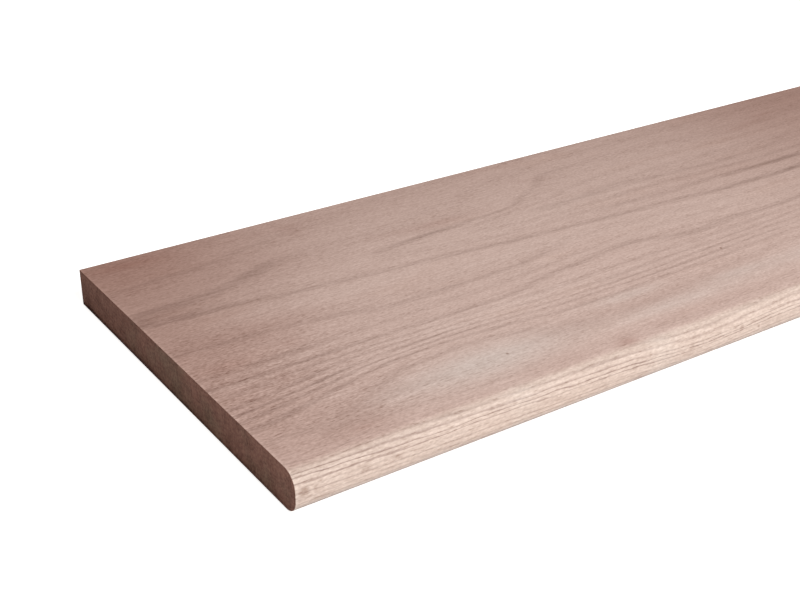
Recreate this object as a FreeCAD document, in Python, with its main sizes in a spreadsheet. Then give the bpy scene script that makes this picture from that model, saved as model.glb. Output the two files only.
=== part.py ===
"""Bullnose stair tread: one board of unfinished red oak, in millimetres.

The board lies flat. +X runs along its length, -Y points out of the rounded front edge and +Z is up.
The origin is the middle of the underside.
"""

import FreeCAD, Part
import math
import os
import Sketcher

# Driving sizes: alias, value in millimetres, meaning
DRIVING_SIZES = [
    ("tread_length", 914.4, "end to end along the nosing"),
    ("tread_depth", 292.1, "front of the nosing to the back edge"),
    ("board_thickness", 26.2, "underside to walking face"),
    ("nose_top_radius", 10.5, "round-over from the walking face"),
    ("nose_land", 5.2, "upright strip left between the two round-overs"),
    ("arris_radius", 0.4, "sanded arrises of the back edge and the sawn ends"),
]
TOUCH = 1e-4  # two places nearer than this are one place


def make_size_sheet(doc):
    """Spreadsheet with one driving size in each row: name, value and meaning."""
    sheet = doc.addObject("Spreadsheet::Sheet", "Sizes")
    for row, (alias, value, meaning) in enumerate(DRIVING_SIZES, start=1):
        sheet.set(f"A{row}", alias)
        sheet.set(f"B{row}", str(value))
        sheet.setAlias(f"B{row}", alias)
        sheet.set(f"C{row}", meaning)
    doc.recompute()
    return sheet


def origin_plane(body, role):
    """One of the body's own three origin planes, found by its role."""
    return next(plane for plane in body.Origin.OriginFeatures if plane.Role == role)


def bind(sketch, constraint, name, formula):
    """Add a dimension to the sketch, name it and tie it to the size sheet."""
    index = sketch.addConstraint(constraint)
    sketch.renameConstraint(index, name)
    sketch.setExpression(f"Constraints.{name}", formula)


def draw_section(body, sheet):
    """Cross section in the YZ plane: a flat board whose front edge is rounded over above and below.

    The lower round-over is what the thickness leaves under the upper one and the land.
    """
    sketch = body.newObject("Sketcher::SketchObject", "TreadSection")
    sketch.AttachmentSupport = (origin_plane(body, "YZ_Plane"), [""])
    sketch.MapMode = "FlatFace"

    thickness = sheet.board_thickness
    upper = sheet.nose_top_radius
    lower = thickness - upper - sheet.nose_land
    back = sheet.tread_depth / 2
    front = -back

    def point(y, z):
        return FreeCAD.Vector(y, z, 0)

    def line(y0, z0, y1, z1):
        return sketch.addGeometry(Part.LineSegment(point(y0, z0), point(y1, z1)))

    def quarter_round(y, z, radius, from_degrees):
        circle = Part.Circle(point(y, z), FreeCAD.Vector(0, 0, 1), radius)
        begin = math.radians(from_degrees)
        return sketch.addGeometry(Part.ArcOfCircle(circle, begin, begin + math.pi / 2))

    underside = line(front + lower, 0, back, 0)
    back_edge = line(back, 0, back, thickness)
    walking_face = line(back, thickness, front + upper, thickness)
    upper_arc = quarter_round(front + upper, thickness - upper, upper, 90)
    land = line(front, thickness - upper, front, lower)
    lower_arc = quarter_round(front + lower, lower, lower, 180)

    start, end, x_axis, origin = 1, 2, -1, -1
    for first, second in ((underside, back_edge), (back_edge, walking_face)):
        sketch.addConstraint(Sketcher.Constraint("Coincident", first, end, second, start))
    nose = (walking_face, upper_arc, land, lower_arc, underside)
    for first, second in zip(nose, nose[1:]):
        sketch.addConstraint(Sketcher.Constraint("Tangent", first, end, second, start))
    sketch.addConstraint(Sketcher.Constraint("Horizontal", underside))
    sketch.addConstraint(Sketcher.Constraint("Vertical", back_edge))
    sketch.addConstraint(Sketcher.Constraint("Horizontal", walking_face))
    sketch.addConstraint(Sketcher.Constraint("Vertical", land))
    sketch.addConstraint(Sketcher.Constraint("PointOnObject", back_edge, start, x_axis))

    bind(sketch, Sketcher.Constraint("DistanceY", back_edge, start, back_edge, end, thickness),
         "thickness", "Sizes.board_thickness")
    bind(sketch, Sketcher.Constraint("DistanceX", land, end, back_edge, start, sheet.tread_depth),
         "depth", "Sizes.tread_depth")
    bind(sketch, Sketcher.Constraint("DistanceX", origin, start, back_edge, start, back),
         "half_depth", "Sizes.tread_depth / 2")
    bind(sketch, Sketcher.Constraint("Radius", upper_arc, upper),
         "upper_radius", "Sizes.nose_top_radius")
    bind(sketch, Sketcher.Constraint("DistanceY", land, end, land, start, sheet.nose_land),
         "land", "Sizes.nose_land")
    return sketch


def pad_board(doc, body, section):
    """Run the section along the length, half of it to each side of the origin."""
    pad = body.newObject("PartDesign::Pad", "BoardLength")
    pad.Profile = section
    pad.SideType = "Symmetric"
    pad.setExpression("Length", "Sizes.tread_length")
    doc.recompute()
    return pad


def sharp_edges(shape, sheet):
    """Names of the edges that sanding eases: both end outlines, and the back edge's two long edges."""
    back = sheet.tread_depth / 2
    names = []
    for number, edge in enumerate(shape.Edges, start=1):
        reach = edge.BoundBox
        on_an_end = reach.XLength < TOUCH
        on_the_back = abs(reach.YMin - back) < TOUCH
        if on_an_end or on_the_back:
            names.append(f"Edge{number}")
    return names


def ease_arrises(doc, body, pad, sheet):
    """Break the sharp arrises with a small round, as a sanding pass leaves them."""
    fillet = body.newObject("PartDesign::Fillet", "EasedArrises")
    fillet.Base = (pad, sharp_edges(pad.Shape, sheet))
    fillet.setExpression("Radius", "Sizes.arris_radius")
    body.Tip = fillet
    doc.recompute()
    return fillet


def make_tread_board(doc, sheet):
    """The whole board: section, length and eased arrises."""
    body = doc.addObject("PartDesign::Body", "TreadBoard")
    body.Label = "tread_board"
    section = draw_section(body, sheet)
    pad = pad_board(doc, body, section)
    ease_arrises(doc, body, pad, sheet)
    return body


def check_and_export(doc, bodies):
    """Stop on any failed object or bad shape, then write each body to a STEP file named by its label."""
    for item in doc.Objects:
        if "Invalid" in item.State or "Error" in item.State:
            raise RuntimeError(f"{item.Name} failed: {item.State}")
    for body in bodies:
        if body.Shape.isNull() or not body.Shape.isValid():
            raise RuntimeError(f"{body.Label} has no valid shape")
    os.makedirs("parts", exist_ok=True)
    for body in bodies:
        shape = body.Shape
        shape.exportStep(f"parts/{body.Label}.step")
        box = shape.optimalBoundingBox()
        print(f"{body.Label}: {box.XLength:.2f} x {box.YLength:.2f} x {box.ZLength:.2f} mm, "
              f"{len(shape.Solids)} solid, {len(shape.Faces)} faces, {shape.Volume / 1e6:.4f} litres")


doc = FreeCAD.newDocument("StairTread")
sizes = make_size_sheet(doc)
tread_board = make_tread_board(doc, sizes)
check_and_export(doc, [tread_board])
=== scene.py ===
# %% [markdown]
# # A red oak stair tread
# A stair tread is one board: a flat walking face, a rounded front edge called the nose, a square back
# edge and two sawn ends. The CAD model already has that shape at its real size. This lesson gives the
# board its wood: growth rings that run through the whole block, open pores, rays, and the darker sawn
# ends. The CAD model comes in as a fixed frame, and everything below is measured from it.

import math

import bpy
import numpy as np
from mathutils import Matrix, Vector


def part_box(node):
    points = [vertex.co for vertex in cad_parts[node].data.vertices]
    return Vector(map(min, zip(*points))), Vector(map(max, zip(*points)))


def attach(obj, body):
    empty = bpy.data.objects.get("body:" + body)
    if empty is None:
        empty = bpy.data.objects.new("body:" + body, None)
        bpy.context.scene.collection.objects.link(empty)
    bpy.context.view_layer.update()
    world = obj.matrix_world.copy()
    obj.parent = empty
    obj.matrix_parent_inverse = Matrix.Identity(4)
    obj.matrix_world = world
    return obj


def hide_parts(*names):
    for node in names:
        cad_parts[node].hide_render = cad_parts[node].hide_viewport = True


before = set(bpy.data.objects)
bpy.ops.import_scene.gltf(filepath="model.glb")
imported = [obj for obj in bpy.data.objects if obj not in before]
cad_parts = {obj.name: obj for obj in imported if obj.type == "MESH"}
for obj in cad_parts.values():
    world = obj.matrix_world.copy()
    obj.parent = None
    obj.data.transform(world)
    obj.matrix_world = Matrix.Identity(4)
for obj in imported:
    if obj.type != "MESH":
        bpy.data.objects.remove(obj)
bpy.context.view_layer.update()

MM = 0.001
BOARD_NODE = "tread_board"
low, high = (np.array(corner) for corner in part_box(BOARD_NODE))
LENGTH, DEPTH, THICKNESS = high - low
print("board", np.round((high - low) / MM, 2), "mm")

# %% [markdown]
# ## The cross section
# A tread's section is a long thin rectangle whose front edge is rounded over from above and from below,
# with a narrow upright land left between the two rounds. A box with a Bevel modifier would look alike,
# but its ends would be single faces. Here the outline is written as two curves that run from the back
# edge to the land, one over the top and one underneath, so that a ruled grid between them also closes
# the sawn ends.

# %% Section curves
NOSE_TOP_RADIUS = 10.5 * MM
NOSE_LAND = 5.2 * MM
NOSE_LOW_RADIUS = THICKNESS - NOSE_TOP_RADIUS - NOSE_LAND
ARRIS = 0.4 * MM
HOLD = 0.4 * MM  # a row of corners this close to a round keeps its smooth shading off the flat face
FLAT_POINTS = 122
NOSE_STEPS = 14
ARRIS_STEPS = 3
EDGE_ROWS = 12


def face_curve(inset, radius):
    """Half an outline from the back edge to the land, as y and as depth under its face.

    In words: a quarter circle of the arris radius, a straight run, then a quarter circle of the nose's
    radius. Inset is one number for each station, and shrinks every radius and every face evenly.
    """
    inset = inset[:, None]
    back = high[1] - ARRIS
    front = low[1] + radius
    corner = np.linspace(0, math.pi / 2, ARRIS_STEPS + 1)
    nose = np.linspace(math.pi / 2, math.pi, NOSE_STEPS + 1)
    flat = np.linspace(back, front, FLAT_POINTS)
    flat[[0, -1]] = back - HOLD, front + HOLD
    y = np.concatenate((back + (ARRIS - inset) * np.cos(corner),
                        flat + 0 * inset,
                        front + (radius - inset) * np.cos(nose)), axis=1)
    under = np.concatenate((ARRIS - (ARRIS - inset) * np.sin(corner),
                            inset + 0 * flat,
                            radius - (radius - inset) * np.sin(nose)), axis=1)
    return y, under


def section_grid(inset):
    """Ruled grid from the underside curve to the walking face curve: station, row, point, then y and z."""
    y, under = face_curve(inset, NOSE_TOP_RADIUS)
    upper = np.stack((y, high[2] - under), axis=-1)[:, None]
    y, under = face_curve(inset, NOSE_LOW_RADIUS)
    lower = np.stack((y, low[2] + under), axis=-1)[:, None]
    share = np.linspace(0, 1, EDGE_ROWS + 1)[None, :, None, None]
    return lower + (upper - lower) * share


print("one section has", section_grid(np.zeros(1)).shape[1:3], "rows and points")

# %% [markdown]
# ## The board
# The CAD mesh could be dressed as it is, but it has few corners, and the ring count below is stored at
# the corners. So the section is carried along the length in short steps. Close to each end it is drawn
# in along a small quarter round, the sanded arris of the sawn end, and the last section is closed by
# its own grid.

# %% Stations along the length
STATION_STEP = 4 * MM
END_STEPS = 4
END_TURN = math.radians(78)


def stations():
    """Places along the length, and how far the section is drawn in at each.

    In words: even steps, and at each end a turn t from 0 to T, where the place is
    reach + arris sin t / sin T and the section is drawn in by arris (1 - cos t).
    """
    turn = np.linspace(0, END_TURN, END_STEPS + 1)
    reach = LENGTH / 2 - ARRIS
    end = reach + ARRIS * np.sin(turn) / math.sin(END_TURN)
    drawn_in = ARRIS * (1 - np.cos(turn))
    middle = np.linspace(-reach, reach, round(2 * reach / STATION_STEP) + 1)
    middle[[0, -1]] = HOLD - reach, reach - HOLD
    x = np.concatenate((-end[::-1], middle, end))
    return x, np.concatenate((drawn_in[::-1], 0 * middle, drawn_in))


print(len(stations()[0]), "stations")

# %% Corners and faces
def outline_walk(rows, points):
    """Row and point numbers round a section: up the back edge, over the top, down the land, back below."""
    row = np.concatenate((np.arange(rows), np.full(points, rows),
                          np.arange(rows, 0, -1), np.zeros(points, int)))
    point = np.concatenate((np.zeros(rows, int), np.arange(points),
                            np.full(rows, points), np.arange(points, 0, -1)))
    return row, point


def quads(net):
    """Faces of four corners between the rows and columns of a net of corner numbers."""
    return np.stack((net[:-1, :-1], net[:-1, 1:], net[1:, 1:], net[1:, :-1]), axis=-1).reshape(-1, 4)


def board_arrays():
    """Corners and faces: the outline at every station, closed into a tube, and a ruled grid over each end.

    The right end's faces are turned round, so that both ends point outwards.
    """
    x, inset = stations()
    grid = section_grid(inset)
    row, point = outline_walk(grid.shape[1] - 1, grid.shape[2] - 1)
    outline = grid[:, row, point]
    along = np.broadcast_to(x[:, None, None], outline.shape[:2] + (1,))
    number = np.arange(along.size).reshape(outline.shape[:2])
    corners = [np.concatenate((along, outline), axis=-1).reshape(-1, 3)]
    faces = [quads(np.column_stack((number, number[:, 0])))]
    count = number.size
    for end, turn in ((0, 1), (-1, -1)):
        inner = grid[end, 1:-1, 1:-1]
        net = np.empty(grid.shape[1:3], int)
        net[row, point] = number[end]
        net[1:-1, 1:-1] = count + np.arange(inner[..., 0].size).reshape(inner.shape[:2])
        count = net.max() + 1
        corners.append(np.insert(inner.reshape(-1, 2), 0, x[end], axis=1))
        faces.append(quads(net)[:, ::turn])
    return np.concatenate(corners), np.concatenate(faces)


corners, faces = board_arrays()
print(len(corners), "corners,", 2 * len(faces), "triangles")

# %% [markdown]
# An end whose faces point inwards is hard to see, so the arrays are measured before they become a mesh.
# If all faces point outwards, the pyramids below fill the board and add up to the CAD solid's volume,
# and an end turned inwards would take its share away instead.

# %% Volume
LITRE = 0.001
PYRAMID = 1 / 6


def enclosed_volume(corners, faces):
    """Volume inside the faces, where each of a face's two triangles makes a pyramid with the origin.

    In words: the cross product of two corners, times the third, is six times that pyramid.
    """
    first, second, third, fourth = corners[faces].transpose(1, 0, 2)
    return (np.cross(first, second) * third + np.cross(first, third) * fourth).sum() * PYRAMID


print("the board holds", round(enclosed_volume(corners, faces) / LITRE, 4), "litres")

# %% [markdown]
# ## From arrays to a mesh
# Blender takes the corners and the faces in one call. An object could carry its place itself, but here
# it stays at the origin, as the CAD nodes do, so that patterns measured in the block stay where they
# are. Smooth shading keeps the nose round, and the faces of the sawn ends take the second material.

# %% Board mesh
SAWN_REACH = ARRIS / 2  # the second material ends this far round the arris


def into_scene(name, data):
    """A new object at the origin, put into the scene."""
    made = bpy.data.objects.new(name, data)
    bpy.context.scene.collection.objects.link(made)
    return made


mesh = bpy.data.meshes.new("oak_board")
mesh.from_pydata(corners, [], faces)
mesh.polygons.foreach_set("use_smooth", np.ones(len(faces), bool))
sawn = np.abs(corners[faces, 0]).min(axis=1) > LENGTH / 2 - SAWN_REACH
mesh.polygons.foreach_set("material_index", sawn.astype(np.int32))
mesh.update()
board = into_scene("oak_board", mesh)
print("mesh problems:", mesh.validate(), "and", sawn.sum(), "sawn faces")

# %% [markdown]
# ## Growth rings
# The figure of a plain-sawn board is a contour map: the dark lines are where the walking face cuts the
# start of each year's growth. Noise alone gives some wood, but never this board. So the main grain
# lines are traced, each with its place in the count of years and its darkness. A line that
# changes its darkness is traced in pieces, and a few far points carry the lines on to the right end.

# %% Traced grain lines
# Year, how dark the line is, and points in millimetres from the left end and from the front of the nose.
GRAIN_LINES = (
    (-1.7, 0.1, ((0, 22), (50, 18), (110, 15), (150, 13), (200, 18), (300, 18), (370, 20), (620, 25),
                 (914, 19))),
    (-1, 0.6, ((20, 12), (40, 20), (50, 29), (60, 38), (75, 47), (90, 54), (105, 59), (125, 62), (150, 63),
               (180, 61), (200, 56), (215, 51), (230, 46), (250, 43))),
    (-1, 0.4, ((280, 45), (310, 47), (340, 50), (370, 54), (400, 57), (620, 61), (914, 50))),
    (0, 1.1, ((0, 50), (20, 53), (40, 57), (60, 62), (80, 67), (100, 71), (115, 73), (135, 73))),
    (0, 0.8, ((175, 72), (200, 70), (220, 67), (250, 65), (280, 65), (320, 67), (350, 67), (400, 69),
              (620, 77), (914, 67))),
    (1, 1.2, ((0, 61), (40, 67), (60, 70), (80, 74), (100, 78), (120, 78), (150, 79))),
    (1, 0.8, ((190, 77), (210, 75), (230, 74), (290, 73), (350, 74), (400, 76), (430, 78), (914, 75))),
    (2, 1.3, ((0, 68), (20, 70), (40, 73), (60, 76), (80, 80), (100, 82), (120, 82))),
    (2, 0.8, ((160, 84), (230, 79), (290, 78), (350, 80), (430, 84), (914, 83))),
    (3, 0.8, ((0, 76), (30, 79), (60, 84), (80, 88), (110, 89))),
    (3, 0.5, ((180, 88), (250, 85), (320, 86), (430, 90), (914, 91))),
    (4, 0.6, ((0, 88), (25, 89), (45, 92), (140, 94))),
    (4, 0.5, ((220, 94), (290, 95), (330, 96), (430, 98))),
    (5, 1.0, ((0, 101), (40, 101), (80, 101), (100, 102), (130, 101), (160, 101), (200, 101), (225, 102),
              (240, 107), (260, 110), (275, 113), (300, 114), (320, 118), (345, 119), (358, 115),
              (375, 109), (395, 107), (410, 109), (428, 112), (450, 109), (480, 109), (620, 114),
              (914, 110))),
    (6, 0.8, ((0, 113), (30, 112), (50, 114))),
    (6, 0.3, ((100, 115), (150, 116), (190, 118), (240, 119))),
    (6, 0.05, ((350, 130), (480, 124), (620, 131), (914, 134))),
    (7, 0.7, ((0, 150), (25, 147), (50, 147), (70, 145), (90, 143), (110, 141), (120, 138), (130, 134),
              (150, 132), (165, 131), (200, 133), (240, 132), (262, 135), (280, 141))),
    (7, 0.05, ((300, 145), (350, 145), (480, 137), (620, 146), (914, 158))),
    (7.5, 0.05, ((0, 172), (60, 167), (120, 157))),
    (8, 1.5, ((0, 195), (20, 191), (45, 189), (67, 188))),
    (8, 0.9, ((85, 184), (110, 182), (140, 180), (160, 177), (190, 174), (215, 173), (235, 171), (260, 168),
              (300, 165), (340, 162), (380, 159), (420, 157), (470, 153))),
    (8, 1.9, ((510, 153), (535, 153))),
    (8, 0.9, ((620, 158), (914, 182))),
    (9, 0.1, ((179, 200), (185, 192), (220, 185), (330, 177))),
    (9, 0.6, ((395, 173), (430, 172), (480, 173))),
    (9, 1.9, ((510, 172), (535, 171))),
    (9, 0.6, ((620, 176), (914, 196))),
    (10, 0.5, ((385, 188), (430, 189), (465, 187), (565, 185))),
    (10, 0.05, ((270, 203), (300, 207), (330, 210), (357, 216))),
    (11, 0.7, ((325, 201), (350, 202), (410, 202), (440, 200), (500, 197), (550, 198), (700, 207),
               (914, 214))),
    (9, 1.3, ((197, 205), (220, 207), (250, 209), (280, 211))),
    (9, 0.6, ((300, 213), (315, 217), (322, 223), (335, 230), (347, 235), (358, 243), (368, 252))),
    (9, 0.1, ((430, 257), (500, 255), (570, 243), (600, 246), (630, 257), (700, 262), (914, 247))),
    (8, 1.0, ((0, 207), (30, 207), (50, 209), (70, 212), (87, 217), (97, 221), (104, 226), (112, 231))),
    (8, 0.2, ((140, 232), (160, 236), (300, 258), (430, 276), (630, 278), (914, 281))),
    (7, 0.5, ((0, 246), (40, 248), (75, 250), (95, 255), (110, 259))),
    (7, 0.2, ((165, 276), (250, 284), (430, 292), (914, 300))),
)
traced = np.array([place for _, _, places in GRAIN_LINES for place in places]) * MM + low[:2]
traced_years = np.array([year for year, _, places in GRAIN_LINES for _ in places], float)
traced_dark = np.array([dark for _, dark, places in GRAIN_LINES for _ in places])
print(len(GRAIN_LINES), "grain lines,", len(traced), "points")

# %% [markdown]
# The nose cuts across the years as well, and its lines run nearly straight. Tracing each of them would
# say the same thing many times, so one row of counts along the front is enough. It stands at three
# distances from the front, one of them just outside the board, which keeps the count level there.

# %% Years along the nose
# Millimetres from the left end, and the count of years at the front of the nose.
NOSE_COUNT = ((0, -4.6), (40, -4.3), (65, -4.1), (87, -3.9), (137, -3.7), (187, -3.4), (237, -3.1),
              (262, -2.6), (287, -2.1), (312, -2.3), (340, -2.8), (400, -3.2), (620, -2.8), (914, -3.6))
NOSE_ROWS = (-4, 2, 8)  # millimetres from the front
nose_x, nose_years = np.array(NOSE_COUNT).T
nose_places = np.concatenate([np.column_stack((nose_x, np.full(len(nose_x), row))) for row in NOSE_ROWS])
pins = np.concatenate((traced, nose_places * MM + low[:2]))
pin_years = np.concatenate((traced_years, np.tile(nose_years, len(NOSE_ROWS))))
print(len(pins), "points with a count")

# %% [markdown]
# A count is now needed between those points. Straight steps from point to point would crease the
# figure. A thin plate spline lays one smooth surface over them, as a sheet of steel bends over pins,
# and counts the years between the traced lines by itself. Distances along the grain are shortened,
# because the figure is long and narrow.

# %% Plate over the pins
GRAIN_STRETCH = np.array((5.0, 1.0))
EASE = 2e-5  # lets the plate miss a pin by part of a year, rather than crease
NEARLY_NOTHING = 1e-12  # keeps the logarithm away from zero
FLAT_TERMS = 3


def plate_kernel(places, centres):
    """Thin plate kernel r squared times log r, with distances along the grain shortened."""
    gap = (places[:, None] - centres[None]) / GRAIN_STRETCH
    square = (gap ** 2).sum(-1) + NEARLY_NOTHING
    return square * np.log(square) / 2


def plane_terms(places):
    """Columns of one, x and y, the flat part of the plate."""
    return np.column_stack((np.ones(len(places)), places))


def bend_plate(centres, heights):
    """Weights of the plate through the heights, or close by: of the kernels, then of the flat part.

    In words: the weighted kernels plus the flat part equal the heights, and the kernels' weights
    add up to nothing, also when each is multiplied by its x or by its y.
    """
    flat = plane_terms(centres)
    matrix = np.block([[plate_kernel(centres, centres) + EASE * np.eye(len(centres)), flat],
                       [flat.T, np.zeros((FLAT_TERMS, FLAT_TERMS))]])
    return np.linalg.solve(matrix, np.concatenate((heights, np.zeros(FLAT_TERMS))))


def plate_height(places):
    """Years counted on the walking face: the kernels times their weights, plus the flat part."""
    return plate_kernel(places, pins) @ plate[:-FLAT_TERMS] + plane_terms(places) @ plate[-FLAT_TERMS:]


plate = bend_plate(pins, pin_years)
print("the plate misses a pin by", np.abs(plate_height(pins) - pin_years).max().round(2), "years at most")

# %% [markdown]
# Under the face the years lie on each other as in a pile of sheets, and the nose shows that pile from
# the side. With one thickness for all, its lines would be as even as print. So each year that shows
# there has a thickness and a darkness of its own. Going down into the block is then going down in the
# pile.

# %% Pile of years
# Thickness of a year in millimetres, and how dark its line is on an edge.
YEAR_LAYERS = {-10: (3.4, 1.5), -9: (2.5, 1.8), -8: (3.2, 0.7), -7: (2.2, 2.7), -6: (2.35, 3.2),
               -5: (3.5, 2.0), -4: (3.5, 1.6), -3: (3.2, 1.5)}
OTHER_YEARS = (3.2, 1.2)
FIRST_YEAR, LAST_YEAR = -40, 29
counted = np.arange(FIRST_YEAR, LAST_YEAR + 1)
layers, edge_dark = np.array([YEAR_LAYERS.get(year, OTHER_YEARS) for year in counted.tolist()]).T
level = np.cumsum(np.concatenate(((0,), layers[:-1]))) * MM
print("a pile of", len(counted), "years,", (level[-1] / MM).round(1), "mm high")

# %% Ring count
# Slow waves of the years towards the underside: height in years, turn in radians a metre, and start.
CROSS_WAVE, CROSS_TURN = 2.2, 13.0
DRIFT_WAVE, DRIFT_TURN_ALONG, DRIFT_TURN_ACROSS, DRIFT_START = 1.3, 9.0, 7.0, 1.0


def ring_count(points):
    """Years counted at any point of the block.

    In words: the plate's height over the point, as a level in the pile of years, less the point's depth,
    read back as a year, plus slow waves that grow with depth so that the underside has its own figure.
    """
    depth = high[2] - points[:, 2]
    inward = points[:, 1] - low[1]
    top_level = np.interp(plate_height(points[:, :2]), counted, level)
    year = np.interp(top_level - depth, level, counted)
    cross = CROSS_WAVE * np.sin(CROSS_TURN * inward)
    drift = DRIFT_WAVE * np.sin(DRIFT_TURN_ALONG * points[:, 0] + DRIFT_START)
    return year + (cross + drift * np.sin(DRIFT_TURN_ACROSS * inward)) * depth / THICKNESS


ring_age = ring_count(corners)
print("years on the board:", np.round((ring_age.min(), ring_age.max()), 1))

# %% [markdown]
# The finish also needs to know how wide a year is where it meets the surface, because a dark line keeps
# its width in millimetres while the years crowd or spread. A shader can't measure that well, but arrays
# can: it is one over the slope of the ring count along the surface, found by counting again a small
# step away.

# %% Width of a year
PROBE = 0.2 * MM
NARROW_YEAR, WIDE_YEAR = 1.8 * MM, 45 * MM
normals = np.empty(3 * len(corners), np.float32)
mesh.vertex_normals.foreach_get("vector", normals)
normals = normals.reshape(-1, 3)
steps = PROBE * np.eye(3)
ring_slope = np.stack([(ring_count(corners + step) - ring_age) / PROBE for step in steps], axis=-1)
ring_slope -= (ring_slope * normals).sum(-1, keepdims=True) * normals
ring_width = np.clip(1 / np.linalg.norm(ring_slope, axis=1), NARROW_YEAR, WIDE_YEAR)
print("half of the corners have years under", (np.median(ring_width) / MM).round(1), "mm wide")

# %% [markdown]
# Some lines are strong and some barely show. Each traced darkness spreads to its neighbourhood as a
# weighted mean, and a line that wasn't traced stays faint. The tracing stops short of the right end,
# and past it all lines settle on one darkness, so that the board doesn't turn plain there.

# %% Darkness of the lines
DARK_REACH = np.array((30, 4.5)) * MM
FAINT, UNTRACED_DARK, FAINT_WEIGHT = 0.2, 0.8, 0.1
# The tracing ends along a slanting line: its reach at the nose, its slant, and a soft change there.
TRACED_FRONT, TRACED_SLANT, TRACED_BLEND = 380 * MM, 1.12, 110 * MM
EDGE_BLEND = 1.5 * MM


def line_depth(points, age):
    """Darkness of the grain lines: mean of the traced values, weighted by a bell curve of the distance.

    Far from any traced line it is faint, and past the last of them it settles on one darkness.
    Down the edges it turns into the darkness of each year.
    """
    along, inward = (points[:, :2] - low[:2]).T
    past = along - TRACED_FRONT - TRACED_SLANT * inward
    faint = np.interp(past, (0, TRACED_BLEND), (FAINT, UNTRACED_DARK))
    gap = (points[:, None, :2] - traced[None]) / DARK_REACH
    weight = np.exp(-(gap ** 2).sum(-1))
    top = (weight @ traced_dark + FAINT_WEIGHT * faint) / (weight.sum(1) + FAINT_WEIGHT)
    edge = np.interp(age, counted, edge_dark)
    return top + (edge - top) * np.clip((high[2] - points[:, 2]) / EDGE_BLEND, 0, 1)


dark_lines = line_depth(corners, ring_age)
print("darkness of the lines from", dark_lines.min().round(2), "to", dark_lines.max().round(2))

# %% [markdown]
# ## Broad tones
# Whatever its rings do, bare wood drifts between paler and darker, pinker and greyer, and the left end
# is rougher to the eye than the middle. Broad noise would put such patches anywhere. Here each one is a
# bell curve with a place, a reach and a strength, given in a list, and the sums are stored at the corners
# like the ring count. The small patches are the wood's own colour. The wide dark ones towards the ends
# and the back are painted shade: the fall-off of the lamp's pool of light, painted into the colour.

# %% Broad tones
# Soft patches on the walking face, the wide dark ones painted shade: place and reach in millimetres as
# above, and share of the brightness.
TONE_AND_FALLOFF_PATCHES = (
    (150, 40, 60, 16, 0.09), (310, 32, 60, 6, 0.04), (440, 40, 60, 9, 0.04), (55, 57, 20, 3, 0.05),
    (62, 40, 14, 8, -0.05), (85, 52, 14, 6, -0.04), (55, 22, 22, 9, -0.07), (55, 20, 5, 2, -0.08),
    (215, 51, 14, 6, -0.04), (245, 44, 20, 6, -0.02), (285, 44, 28, 6, -0.045), (335, 48, 28, 5, -0.04),
    (375, 53, 30, 5, -0.03), (190, 16, 26, 7, -0.06), (239, 12, 7, 4, -0.24), (240, 20, 6, 2, -0.08),
    (280, 19, 28, 5, -0.05), (345, 19, 40, 6, -0.05), (25, 120, 14, 5, -0.06), (69, 125, 7, 5, -0.08),
    (46, 90, 6, 5, -0.06), (20, 97, 18, 2, 0.07), (60, 107, 40, 3, 0.05),
    (245, 221, 32, 6, -0.13), (205, 225, 20, 4, -0.04), (151, 268, 8, 12, -0.06), (160, 276, 40, 3, -0.04),
    (30, 281, 25, 6, -0.06), (575, 242, 18, 4, -0.06), (600, 247, 18, 4, -0.06), (620, 256, 12, 3, -0.06),
    (345, 250, 8, 3, -0.05), (363, 246, 8, 6, -0.05), (475, 257, 20, 3, -0.03),
    (60, 170, 60, 9, 0.03), (150, 165, 60, 9, 0.04), (270, 150, 80, 9, 0.05), (430, 135, 80, 14, 0.05),
    (280, 59, 26, 4, 0.06), (270, 30, 35, 5, 0.05), (470, 180, 70, 25, -0.05),
    (0, 150, 80, 110, -0.29), (20, 290, 110, 70, -0.31), (250, 300, 250, 50, -0.10),
    (690, 285, 160, 62, -0.28), (914, 120, 300, 150, -0.13), (0, 30, 80, 50, -0.08),
    (620, 291, 120, 3, -0.06), (200, 88, 110, 12, 0.085), (300, 190, 110, 10, 0.03),
    (650, 185, 115, 65, -0.17), (105, 225, 45, 28, -0.06), (72, 148, 38, 16, -0.06), (80, 72, 40, 9, 0.05),
    (82, 34, 18, 8, 0.06), (243, 62, 28, 5, 0.045), (270, 126, 38, 8, 0.045), (365, 200, 50, 5, 0.035),
    (185, 70, 30, 4, 0.04),
)
# Where the wood is greyer, and where its texture is stronger: place, reach and share.
GREY_PATCHES = (
    (150, 40, 58, 15, 0.6), (300, 34, 60, 7, 0.3), (440, 40, 60, 9, 0.25), (570, 42, 70, 8, 0.3),
    (283, 58, 26, 5, 0.3), (364, 43, 28, 6, 0.3), (151, 4, 10, 5, 0.25), (259, 3, 10, 6, 0.25),
)
COARSE_PATCHES = ((10, 95, 85, 75, 0.8), (20, 290, 120, 60, 0.3), (150, 40, 50, 15, -0.15))
TONE_DEPTH = 4 * MM


def bells(points, patches):
    """Sum of bell curves over the board, each with a place, a reach along and across, and a height."""
    patch = np.array(patches)
    gap = (points[:, None, :2] - low[:2] - patch[:, :2] * MM) / (patch[:, 2:4] * MM)
    return np.exp(-(gap ** 2).sum(-1)) @ patch[:, 4]


def broad_tone(points):
    """Patches of wood colour and painted shade on the walking face, gone at a small depth below it."""
    return bells(points, TONE_AND_FALLOFF_PATCHES) * np.clip(1 - (high[2] - points[:, 2]) / TONE_DEPTH, 0, 1)


stored = {"ring_age": ring_age, "ring_width": ring_width, "line_depth": dark_lines,
          "tone": broad_tone(corners), "grey": bells(corners, GREY_PATCHES),
          "coarse": 1 + bells(corners, COARSE_PATCHES)}
for name, values in stored.items():
    mesh.attributes.new(name, "FLOAT", "POINT").data.foreach_set("value", values.astype(np.float32))
    print(name, "from", values.min().round(4), "to", values.max().round(4))

# %% [markdown]
# ## Writing a finish as sums
# A material is a net of nodes, and most of that net is arithmetic. Wired one by one it fills pages, so
# a small class wraps a socket: adding or multiplying two of them adds the Math node, and one method
# adds any other node. The finishes below then read as lines of sums.

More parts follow.
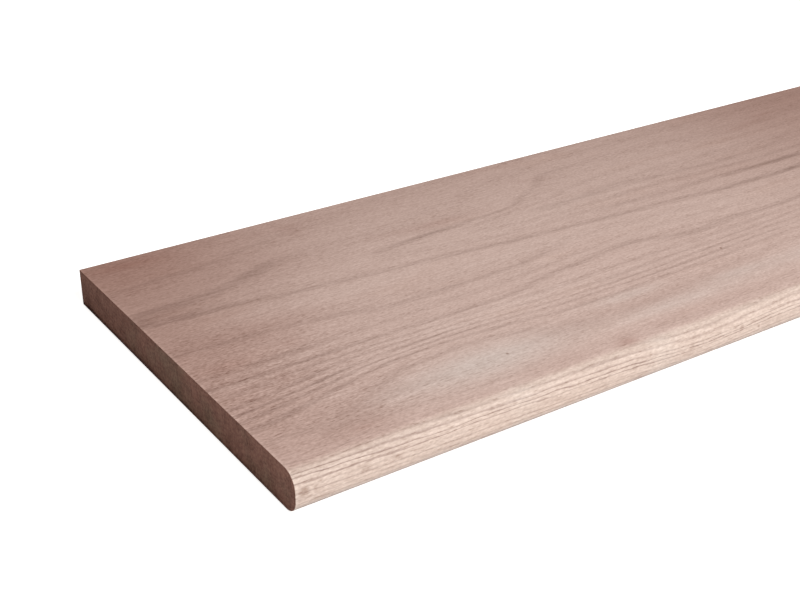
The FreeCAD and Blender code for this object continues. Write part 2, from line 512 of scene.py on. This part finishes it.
# %% Socket arithmetic
MIX_FACTOR, MIX_A, MIX_B, MIX_RESULT = 0, 6, 7, 2  # a Mix node's sockets for colours
RELIEF_STRENGTH = 0.5


def fill(node, sockets):
    """Fill the named sockets of a node: a signal is linked, and a number or colour is set on the socket."""
    for name, value in sockets.items():
        if isinstance(value, Signal):
            value.tree.links.new(value.socket, node.inputs[name])
        else:
            node.inputs[name].default_value = value


class Signal:
    """One output of a net of nodes, which can be used in sums with numbers and other signals."""

    def __init__(self, tree, socket=None):
        self.tree = tree
        self.socket = socket

    def node(self, kind, settings, sockets, output=0):
        """Add a node: its settings first, then a number, colour or signal for each named socket."""
        made = self.tree.nodes.new(kind)
        for name, value in settings.items():
            setattr(made, name, value)
        fill(made, sockets)
        return Signal(self.tree, made.outputs[output])

    def math(self, operation, *values):
        """Math node of that operation, with this signal as its first value."""
        return self.node("ShaderNodeMath", {"operation": operation}, dict(enumerate((self, *values))))

    def __add__(self, other):
        return self.math("ADD", other)

    __radd__ = __add__

    def __mul__(self, other):
        return self.math("MULTIPLY", other)

    __rmul__ = __mul__

    def __sub__(self, other):
        return self.math("SUBTRACT", other)

    def __rsub__(self, other):
        return (self * -1) + other

    def __truediv__(self, other):
        return self.math("DIVIDE", other)

    def rise(self, start, end):
        """Smooth step from 0 at start to 1 at end."""
        return self.node("ShaderNodeMapRange", {"interpolation_type": "SMOOTHSTEP"},
                         {"Value": self, "From Min": start, "From Max": end})

    def blend(self, first, second):
        """Colour between first and second, where this signal is the share of second."""
        return self.node("ShaderNodeMix", {"data_type": "RGBA"},
                         {MIX_FACTOR: self, MIX_A: first, MIX_B: second}, MIX_RESULT)

    def shaded(self, share, tint):
        """Colour times one plus share, where tint says how strongly red, green and blue take that share."""
        change = self.node("ShaderNodeVectorMath", {"operation": "SCALE"}, {0: tint, "Scale": share})
        return self.node("ShaderNodeVectorMath", {"operation": "MULTIPLY_ADD"},
                         {0: self, 1: change, 2: self})

    def relief(self, height):
        """Normal of a surface that this signal raises, where 1 is the given height."""
        return self.node("ShaderNodeBump", {}, {
            "Strength": RELIEF_STRENGTH, "Distance": height, "Height": self})


print("a signal can", [name for name in vars(Signal) if not name.startswith("_")])

# %% [markdown]
# ## Fibres, pores and rays
# Everything fine in oak runs along the trunk. Fibres are long faint streaks. Pores are thin tubes a few
# millimetres long, crowded at the start of each year, and they show as dark dashes on a face and as
# dots on a sawn end. Rays are thin upright blades across the years. Painted on each face, they would
# break off at the edges, so each is one texture in the block, squeezed by different amounts along,
# across and through it.

# %% Stretched textures
NOISE_MIDDLE, NOISE_GAIN = 0.5, 3.0
PLAIN_DETAIL = 2.0


def squeezed(place, along, across, through, shift):
    """The place in the block, in units of a grain of the given size."""
    return place.node("ShaderNodeMapping", {}, {
        "Vector": place, "Scale": (1 / along, 1 / across, 1 / through), "Location": (shift, shift, shift)})


def noise(place, along, across, through, shift, detail=PLAIN_DETAIL):
    """Noise about zero, in grains of that size."""
    grain = squeezed(place, along, across, through, shift)
    made = place.node("ShaderNodeTexNoise", {}, {"Vector": grain, "Scale": 1.0, "Detail": detail})
    return made - NOISE_MIDDLE


def fibre(place, along, across, shift, detail=PLAIN_DETAIL):
    """Noise from about -1 to 1, in streaks of that size that are as thick as they are wide."""
    return noise(place, along, across, across, shift, detail) * NOISE_GAIN


def spindles(place, along, across, through, shift):
    """Distance to the nearest of many scattered centres, in grains of that size."""
    grain = squeezed(place, along, across, through, shift)
    return place.node("ShaderNodeTexVoronoi", {"feature": "F1"},
                      {"Vector": grain, "Scale": 1.0, "Randomness": 1.0})


print("fibre noise reaches", -NOISE_MIDDLE * NOISE_GAIN, "to", (1 - NOISE_MIDDLE) * NOISE_GAIN, "at most")

# %% [markdown]
# Faces and ends are cut from the same wood, so what they share is worked out in one place: how far a
# point is from the start of its year, how porous the wood is there, and where pores and rays lie. A
# line that followed the count exactly would look drawn, so it wanders a little, in three sizes of
# streak.

# %% Oak in the block
# Streaks that make the lines wander: size along and across, a shift of their own, and how far they push.
WANDER = ((40 * MM, 2.5 * MM, 3.0), (120 * MM, 8 * MM, 7.0), (14 * MM, 2 * MM, 9.0))
WANDER_REACH = (0.5 * MM, 0.6 * MM, 0.35 * MM)
EDGE_WANDER = 0.4  # the lines of the edges wander by this much more
EDGE_START, EDGE_FULL = 1 * MM, 3 * MM  # depth below the walking face
# How far a line lies ahead of the count, on the walking face and on an edge.
LINE_AHEAD, EDGE_AHEAD = 1.2 * MM, 0.3 * MM
# How far a line reaches before and after the start of its year: share of the year's width, and a limit.
LINE_FRONT, LINE_BACK = (0.36, 4 * MM), (0.55, 6 * MM)
LINE_TRIM = 0.6 * MM
POROUS_RISE, POROUS_FADE, POROUS_END = 0.06, 0.2, 0.6  # shares of a year
PORE_LEAST, PORE_CORE = 0.5, 0.5  # shares of a pore's reach: in dense wood, and of its dark middle
RAY_GRAIN = (30 * MM, 2.2 * MM, 60 * MM, 23.0)
RAY_CORE, RAY_RIM = 0.06, 0.16


class Oak:
    """What both finishes share: the place in the block, the year and its lines, the pores and the rays."""

    def __init__(self, start):
        self.place = start.node("ShaderNodeTexCoord", {}, {}, "Object")
        self.width = self.stored("ring_width")
        self.edge = 1 - self.axis("Z").rise(high[2] - EDGE_FULL, high[2] - EDGE_START)
        wander = sum(fibre(self.place, *grain) * reach for grain, reach in zip(WANDER, WANDER_REACH))
        ahead = LINE_AHEAD + self.edge * (EDGE_AHEAD - LINE_AHEAD)
        age = self.stored("ring_age") + (wander * (1 + self.edge * EDGE_WANDER) + ahead) / self.width
        self.off_line = (age - age.math("ROUND")) * self.width
        phase = age - age.math("FLOOR")
        self.porous = phase.rise(0.0, POROUS_RISE) * (1 - phase.rise(POROUS_FADE, POROUS_END))
        self.rays = 1 - spindles(self.place, *RAY_GRAIN).rise(RAY_CORE, RAY_RIM)

    def stored(self, name):
        """Value stored under that name at the corners of the board."""
        return self.place.node("ShaderNodeAttribute", {"attribute_name": name}, {}, "Fac")

    def axis(self, name):
        """Place along one axis of the block, X, Y or Z."""
        return self.place.node("ShaderNodeSeparateXYZ", {}, {"Vector": self.place}, name)

    def line(self):
        """Dark line at the start of a year: a rise on the old side, and a slower fade on the new one.

        Each reaches a share of the year's width less a trim, and no further than a limit.
        """
        front, back = ((self.width * share - LINE_TRIM).math("MINIMUM", limit)
                       for share, limit in (LINE_FRONT, LINE_BACK))
        return self.off_line.rise(front * -1, 0.0) * (1 - self.off_line.rise(0.0, back))

    def pores(self, along, across, most, shift):
        """Dark dashes, fat in the porous wood and thinner in the dense wood.

        A pore reaches a share of its grain from the middle: most in the porous wood, less in the dense.
        """
        reach = most * (PORE_LEAST + self.porous * (1 - PORE_LEAST))
        return 1 - spindles(self.place, along, across, across, shift).rise(reach * PORE_CORE, reach)


print("a line wanders by about", round(sum(WANDER_REACH) / MM, 2), "mm at most on the walking face")

# %% [markdown]
# ## Finish of the planed faces
# Unfinished red oak is a dusty pink brown. Early wood is darker because its open pores hold shade, and
# late wood is paler and smoother. A colour ramp along the years would do for one board seen from afar.
# Here the colour is a blend of a pale and a dark oak, moved towards warm, grey and cream ones where the
# board is so.

# %% Colours of the faces
SCREEN_WHITE = 255
# The screen's own curve: a straight foot up to the knee, and above it a power.
SCREEN_KNEE, SCREEN_FOOT, SCREEN_SHIFT, SCREEN_POWER = 0.04045, 12.92, 0.055, 2.4


def colour(red, green, blue):
    """A colour picked on screen, from 0 to 255, as the linear values that shaders use."""
    share = np.array((red, green, blue)) / SCREEN_WHITE
    curved = ((share + SCREEN_SHIFT) / (1 + SCREEN_SHIFT)) ** SCREEN_POWER
    return (*np.where(share <= SCREEN_KNEE, share / SCREEN_FOOT, curved).tolist(), 1.0)


PALE_OAK = colour(207, 181, 171)
DARK_OAK = colour(140, 113, 103)
WARM_OAK = colour(200, 163, 145)
GREY_OAK = colour(204, 191, 184)
CREAM_OAK = colour(216, 195, 178)
# How strongly red, green and blue follow the broad patches with their painted shade, the texture, the nose,
# and the painted shade at the foot of an edge.
TONE_TINT = (0.86, 1.18, 1.26)
SHADE_TINT = (0.86, 1.03, 1.11)
NOSE_TINT = (-0.10, -0.06, -0.05)
FOOT_SHADE_TINT = (-0.13, -0.06, -0.02)
print("pale oak is", np.round(PALE_OAK, 3), "and dark oak", np.round(DARK_OAK, 3))

# %% [markdown]
# A dark line on real wood fades and breaks along its way, because a saw and a plane cut the tubes at a
# changing slant. Two streaky textures give that, weaker on the edges, where the lines run on. The few
# specks and stains that catch the eye are placed one by one: noise would never put them where they are.

# %% Broken lines and small marks
BREAK_GRAINS = ((16 * MM, 1.6 * MM, 5.0), (70 * MM, 3 * MM, 6.0))
BREAK_EDGE, BREAK_SHARE, UNBROKEN = 0.6, 0.6, 0.25
EDGE_EVEN, EDGE_SHARE = 0.6, 0.75
FACE_UP = THICKNESS / MM  # the walking face's height, in millimetres like the places below
# Place in millimetres from the left end, from the front and from the underside, then radius and share.
SMALL_MARKS = (
    (169, 40.5, FACE_UP, 1.3, 0.55), (385, 76, FACE_UP, 1.3, 0.65), (43, 0, 15.0, 4.2, 0.21),
    (63.5, 0, 15.0, 2.4, 0.28), (5.5, 0, 15.0, 4.5, 0.36), (13, 0, 14.5, 3.5, 0.22),
    (235, 0, 15.0, 3.0, 0.19), (283, 0, 14.5, 3.5, 0.22), (327, 0, 14.5, 2.8, 0.26),
    (343, 0, 11.2, 1.5, 0.36),
)
MARK_CORE = 0.3  # share of the radius that is dark all over


def broken_lines(oak):
    """Grain lines times their darkness, with gaps: even on the edges, and patchy on the walking face."""
    kept = UNBROKEN
    for grain in BREAK_GRAINS:
        kept = kept + fibre(oak.place, *grain).rise(-BREAK_EDGE, BREAK_EDGE) * BREAK_SHARE
    kept = kept + oak.edge * EDGE_EVEN * (EDGE_SHARE - kept)
    return oak.line() * oak.stored("line_depth") * kept


def small_marks(place):
    """Sum of soft round spots, each dark in the middle and gone at its radius."""
    total = 0
    for x, y, z, radius, share in SMALL_MARKS:
        centre = np.array((x, y, z)) * MM + low
        gap = place.node("ShaderNodeVectorMath", {"operation": "DISTANCE"}, {0: place, 1: centre}, "Value")
        total = total + share * (1 - gap.rise(MARK_CORE * radius * MM, radius * MM))
    return total


print(len(SMALL_MARKS), "small marks")

# %% [markdown]
# Now the colours are laid over the board. The nose is creamier than the walking face, and painted shade
# makes the foot of an edge and the underside darker and greyer, near the floor. Separate materials would
# meet in a hard seam there, so each change is a soft step along an axis of the block, and one material
# covers all planed faces.

# %% Colour over the faces
WARM_GRAIN = (120 * MM, 25 * MM, 31.0)
WARM_START, WARM_FULL, WARM_SHARE = 0.1, 1.0, 0.15
NOSE_FULL, NOSE_END, NOSE_CREAM = 5 * MM, 11 * MM, 0.4  # from the front, and share of cream
# Painted shade near the floor, on the underside and the foot of each edge: full and gone, from the
# underside.
FOOT_SHADE_FULL, FOOT_SHADE_END = 3 * MM, 8 * MM  # from the underside


def face_colour(oak, early):
    """Pale oak that darkens with the early wood, drifts to warm and grey, and turns cream on the nose."""
    nose = 1 - oak.axis("Y").rise(low[1] + NOSE_FULL, low[1] + NOSE_END)
    # painted shade near the floor: darker and greyer low on the board
    foot = 1 - oak.axis("Z").rise(FOOT_SHADE_FULL, FOOT_SHADE_END)
    warmth = fibre(oak.place, *WARM_GRAIN).rise(WARM_START, WARM_FULL)
    wood = early.blend(PALE_OAK, DARK_OAK)
    wood = (warmth * WARM_SHARE).blend(wood, WARM_OAK)
    wood = oak.stored("grey").blend(wood, GREY_OAK)
    wood = (nose * NOSE_CREAM * (1 - early)).blend(wood, CREAM_OAK)
    # The broad patches carry painted shade where the lamp's light falls off, and the foot takes painted
    # shade near the floor.
    return wood.shaded(oak.stored("tone"), TONE_TINT).shaded(nose, NOSE_TINT).shaded(foot, FOOT_SHADE_TINT)


print("cream turns to pink over", round((NOSE_END - NOSE_FULL) / MM, 1), "mm of the nose")

# %% [markdown]
# Last, the finish is put together. Dashes, grit, streaks, pores, rays and marks dim or brighten the
# colours, and a painted highlight makes a narrow band beside each sawn end a little paler, where the
# arris catches the light. Bare wood scatters light, so the surface is rough, most of all in the pores.
# The same signals give the fine relief: cut into the mesh, it would need millions of faces.

# %% Planed oak
# Size along and across the trunk, and a shift that sets each texture apart. Pores also have a reach.
DASH_GRAIN = (14 * MM, 1.4 * MM, 41.0)
GRIT_GRAIN = (2.6 * MM, 1.1 * MM, 43.0)
STREAK_GRAIN = (90 * MM, 4 * MM, 47.0)
FACE_PORES = (8 * MM, 1.1 * MM, 0.38, 11.0)
# Shares of the dark colour, and of the brightness.
LINE_SHARE, POROUS_SHARE = 0.34, 0.03
DASH_SHARE, GRIT_SHARE, PORE_SHARE, RAY_SHARE, STREAK_SHARE, RIM_HIGHLIGHT_SHARE = 0.13, 0.22, 0.2, 0.10, 0.03, 0.1
# Painted highlight beside each sawn end, where its arris catches the light: full and gone, from the end.
RIM_HIGHLIGHT_FULL, RIM_HIGHLIGHT_END = 0.5 * MM, 2.5 * MM  # from a sawn end
FACE_ROUGH, PORE_ROUGH, EARLY_ROUGH = 0.62, 0.2, 0.08
DASH_HEIGHT, GRIT_HEIGHT, FACE_RELIEF = 0.3, 0.3, 0.1 * MM
FACE_SHINE = 0.3


def new_finish(name):
    """A material, its Principled shader and a first signal to add nodes from."""
    finish = bpy.data.materials.new(name)
    finish.use_nodes = True
    return finish, finish.node_tree.nodes["Principled BSDF"], Signal(finish.node_tree)


def planed_oak():
    """Finish of the faces and edges: the oak colours, dimmed by texture and marks, with a fine relief."""
    finish, shader, start = new_finish("red_oak_planed")
    oak = Oak(start)
    early = broken_lines(oak) * LINE_SHARE + oak.porous * POROUS_SHARE
    pores = oak.pores(*FACE_PORES)
    dashes, grit, streaks = (fibre(oak.place, *grain) for grain in (DASH_GRAIN, GRIT_GRAIN, STREAK_GRAIN))
    # painted highlight: paler just beside each sawn end, where its arris catches the light
    rim_highlight = oak.axis("X").math("ABSOLUTE").rise(LENGTH / 2 - RIM_HIGHLIGHT_END, LENGTH / 2 - RIM_HIGHLIGHT_FULL)
    texture = dashes * DASH_SHARE + grit * GRIT_SHARE - pores * PORE_SHARE - oak.rays * RAY_SHARE
    texture = texture * oak.stored("coarse") + streaks * STREAK_SHARE + rim_highlight * RIM_HIGHLIGHT_SHARE
    height = dashes * DASH_HEIGHT + grit * GRIT_HEIGHT - pores - early
    fill(shader, {
        "Base Color": face_colour(oak, early).shaded(texture - small_marks(oak.place), SHADE_TINT),
        "Roughness": FACE_ROUGH + pores * PORE_ROUGH + early * EARLY_ROUGH,
        "Normal": height.relief(FACE_RELIEF),
        "Specular IOR Level": FACE_SHINE})
    return finish


mesh.materials.append(planed_oak())
print("planed faces:", len(mesh.materials[0].node_tree.nodes), "nodes")

# %% [markdown]
# ## Finish of the sawn ends
# A saw cuts across the tubes, so an end drinks light: it is darker and browner than the faces. The
# years show as bands of pore dots, the rays as thin pale lines across them, and the blade leaves short
# upright scratches. Painted shade makes an end darker towards its foot and its back, and a painted
# shadow lies along the foot. The faces' finish could be darkened for this, but an end is another
# surface altogether, so it has its own material on its own faces, made of the same wood.

# %% Shade over an end
# Painted shadow along the foot: heights where it is full and gone, its share in the middle, and how it
# grows and climbs behind.
END_SHADOW_FULL, END_SHADOW_END, END_SHADOW_SHARE, END_SHADOW_BEHIND, END_SHADOW_CLIMB = 1.4 * MM, 3.6 * MM, 0.42, 0.4, 1.6 * MM
# Painted shade, a slow change of brightness: from the foot to the top about the middle, and from the front
# to the back.
END_BRIGHTER_UP, END_MIDDLE, END_DARKER_BACK = 0.24, 0.5, 0.12


def end_shade(oak):
    """Painted shade over an end, brighter up and darker to the back, and a painted shadow along its foot.
    """
    up = oak.axis("Z")
    inward = oak.axis("Y") / DEPTH
    foot = up - inward.math("MAXIMUM", 0.0) * END_SHADOW_CLIMB
    foot_shadow = (1 - foot.rise(END_SHADOW_FULL, END_SHADOW_END)) * (END_SHADOW_SHARE + inward * END_SHADOW_BEHIND)
    slow = (up / THICKNESS - END_MIDDLE) * END_BRIGHTER_UP - inward * END_DARKER_BACK
    return slow, foot_shadow


# the painted shadow along the foot of an end
print("grime is gone", round(END_SHADOW_END / MM, 1), "mm above the underside in the middle")

# %% Sawn oak
END_OAK = colour(134, 95, 82)
END_DARK = colour(103, 72, 61)
END_OLIVE = colour(121, 104, 86)
# Size along and across the trunk, a shift, and for two of them the detail.
# Scratches also have a height, and pores a reach.
OLIVE_GRAIN = (34 * MM, 34 * MM, 71.0, 3.0)
BLOTCH_GRAIN = (10 * MM, 10 * MM, 61.0, 4.0)
FUZZ_GRAIN = (1.6 * MM, 1.6 * MM, 67.0)
SCRATCH_GRAIN = (40 * MM, 1.0 * MM, 7 * MM, 73.0)
END_PORES = (8 * MM, 0.9 * MM, 0.36, 11.0)
# Shares of the dark and olive colours, and of the brightness.
END_POROUS_SHARE, OLIVE_SHARE = 0.2, 0.55
BLOTCH_SHARE, FUZZ_SHARE, SCRATCH_SHARE, END_PORE_SHARE, END_RAY_SHARE = 0.3, 0.45, 0.8, 0.35, 0.2
OLIVE_START, OLIVE_FULL = -0.1, 0.8
END_ROUGH, END_PORE_ROUGH = 0.8, 0.1
FUZZ_HEIGHT, RAY_HEIGHT, END_RELIEF = 0.5, 0.2, 0.2 * MM
END_SHINE = 0.2


def sawn_oak():
    """Finish of the ends: brown and olive end grain with pore dots, rays, blotches and saw scratches."""
    finish, shader, start = new_finish("red_oak_sawn_end")
    oak = Oak(start)
    pores = oak.pores(*END_PORES)
    olive = fibre(oak.place, *OLIVE_GRAIN).rise(OLIVE_START, OLIVE_FULL)
    wood = (oak.porous * END_POROUS_SHARE).blend(END_OAK, END_DARK)
    wood = (olive * OLIVE_SHARE).blend(wood, END_OLIVE)
    blotch, fuzz = (fibre(oak.place, *grain) for grain in (BLOTCH_GRAIN, FUZZ_GRAIN))
    texture = blotch * BLOTCH_SHARE + fuzz * FUZZ_SHARE + noise(oak.place, *SCRATCH_GRAIN) * SCRATCH_SHARE
    texture = texture - pores * END_PORE_SHARE + oak.rays * END_RAY_SHARE
    # Painted shade: slowly darker down and to the back, and a painted shadow along the foot.
    slow, foot_shadow = end_shade(oak)
    height = fuzz * FUZZ_HEIGHT - pores + oak.rays * RAY_HEIGHT
    fill(shader, {
        "Base Color": wood.shaded(texture + slow - foot_shadow, SHADE_TINT),
        "Roughness": END_ROUGH + pores * END_PORE_ROUGH,
        "Normal": height.relief(END_RELIEF),
        "Specular IOR Level": END_SHINE})
    return finish


mesh.materials.append(sawn_oak())
print("sawn ends:", len(mesh.materials[1].node_tree.nodes), "nodes")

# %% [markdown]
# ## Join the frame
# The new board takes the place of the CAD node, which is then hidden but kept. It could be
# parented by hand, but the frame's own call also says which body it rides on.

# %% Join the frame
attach(board, "root")
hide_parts(BOARD_NODE)
print("the board stands for", BOARD_NODE)

# %% [markdown]
# ## Camera
# The camera stands in front of the board and past its left end, and looks down over it to the right.
# Set by eye, its lens and its distance would be mixed up. So its place, turn and lens were found
# together from the board's own edges in the picture, with the focal length in pixels of a picture 800
# pixels wide.

# %% Camera
IMAGE_WIDTH = 800
FOCAL_PIXELS = 1319.6
CAMERA_PLACE = (-0.7228, -0.63985, 0.4139)
LOOK_DOWN, LOOK_RIGHT = math.radians(27.15), math.radians(33.79)
camera = into_scene("camera", bpy.data.cameras.new("camera"))
camera.data.lens = camera.data.sensor_width * FOCAL_PIXELS / IMAGE_WIDTH
camera.location = CAMERA_PLACE
camera.rotation_euler = (math.pi / 2 - LOOK_DOWN, 0, -LOOK_RIGHT)
bpy.context.scene.camera = camera
print("lens", round(camera.data.lens, 2), "mm")

# %% [markdown]
# ## Floor
# The floor is a wide pale sheet. A plain white one would come out grey, with a broad shadow. This one
# glows where the camera looks at it, like a light table, so that it stays white and the shadow stays
# thin. The glow lights nothing, because only the camera's own rays see it.

# %% Floor
FLOOR_REACH = 30.0
FLOOR_DROP = 0.1 * MM
FLOOR_WHITE = (0.92, 0.92, 0.92, 1.0)
FLOOR_ROUGH, FLOOR_SHINE, FLOOR_GLOW = 0.9, 0.0, 0.8
floor_mesh = bpy.data.meshes.new("floor")
floor_corners = np.array(((-1, -1, 0), (1, -1, 0), (1, 1, 0), (-1, 1, 0))) * FLOOR_REACH
floor_mesh.from_pydata(floor_corners - (0, 0, FLOOR_DROP), [], [(0, 1, 2, 3)])
floor = into_scene("floor", floor_mesh)
paper, paper_shader, paper_start = new_finish("light_table")
fill(paper_shader, {
    "Base Color": FLOOR_WHITE, "Roughness": FLOOR_ROUGH, "Specular IOR Level": FLOOR_SHINE,
    "Emission Color": paper_start.node("ShaderNodeLightPath", {}, {}, "Is Camera Ray"),
    "Emission Strength": FLOOR_GLOW})
floor_mesh.materials.append(paper)
print("floor", 2 * FLOOR_REACH, "m wide")

# %% [markdown]
# ## Light
# One large soft lamp stands high in front of the board's middle: the nose faces it and is brightest, the
# walking face takes it at a slant, and the left end is in shade. More lamps would even that out, and the
# board would look flat.

# %% Light
LAMP_PLACE = np.array((-0.05, -1.45, 1.35))
LAMP_TARGET = np.array((-0.2, -0.05, 0.02))
LAMP_SIZE = 0.9
LAMP_POWER = 40.0
lamp = into_scene("key_lamp", bpy.data.lights.new("key_lamp", "AREA"))
lamp.data.size = LAMP_SIZE
lamp.data.energy = LAMP_POWER
lamp.location = LAMP_PLACE
right, ahead, up = LAMP_TARGET - LAMP_PLACE
lamp.rotation_euler = (math.atan2(math.hypot(right, ahead), -up), 0, math.atan2(-right, ahead))
print("lamp", LAMP_POWER, "W")

# %% [markdown]
# ## Room
# The room throws a little warm light into the shade. Seen by the camera it would be a grey wall above
# the floor, so the camera's own rays get a white backdrop instead. The Standard view shows the colours
# as they were picked, where the default view would mute them.

# %% Room
ROOM_GLOW = 0.25
ROOM_COLOUR = (1.0, 0.9, 0.82, 1.0)
BACKDROP_GLOW = 1.0
BACKDROP_WHITE = (1.0, 1.0, 1.0, 1.0)
room = bpy.data.worlds.new("room")
room.use_nodes = True
bpy.context.scene.world = room
room_start = Signal(room.node_tree)
glow = room_start.node("ShaderNodeBackground", {}, {"Color": ROOM_COLOUR, "Strength": ROOM_GLOW})
backdrop = room_start.node("ShaderNodeBackground", {}, {"Color": BACKDROP_WHITE, "Strength": BACKDROP_GLOW})
seen = room_start.node("ShaderNodeLightPath", {}, {}, "Is Camera Ray")
mixed = room_start.node("ShaderNodeMixShader", {}, {0: seen, 1: glow, 2: backdrop})
fill(room.node_tree.nodes["World Output"], {"Surface": mixed})
bpy.context.scene.view_settings.view_transform = "Standard"
print("room glow", ROOM_GLOW)

# %% [markdown]
# ## Sizes
# The dressed board may not outgrow the CAD model.
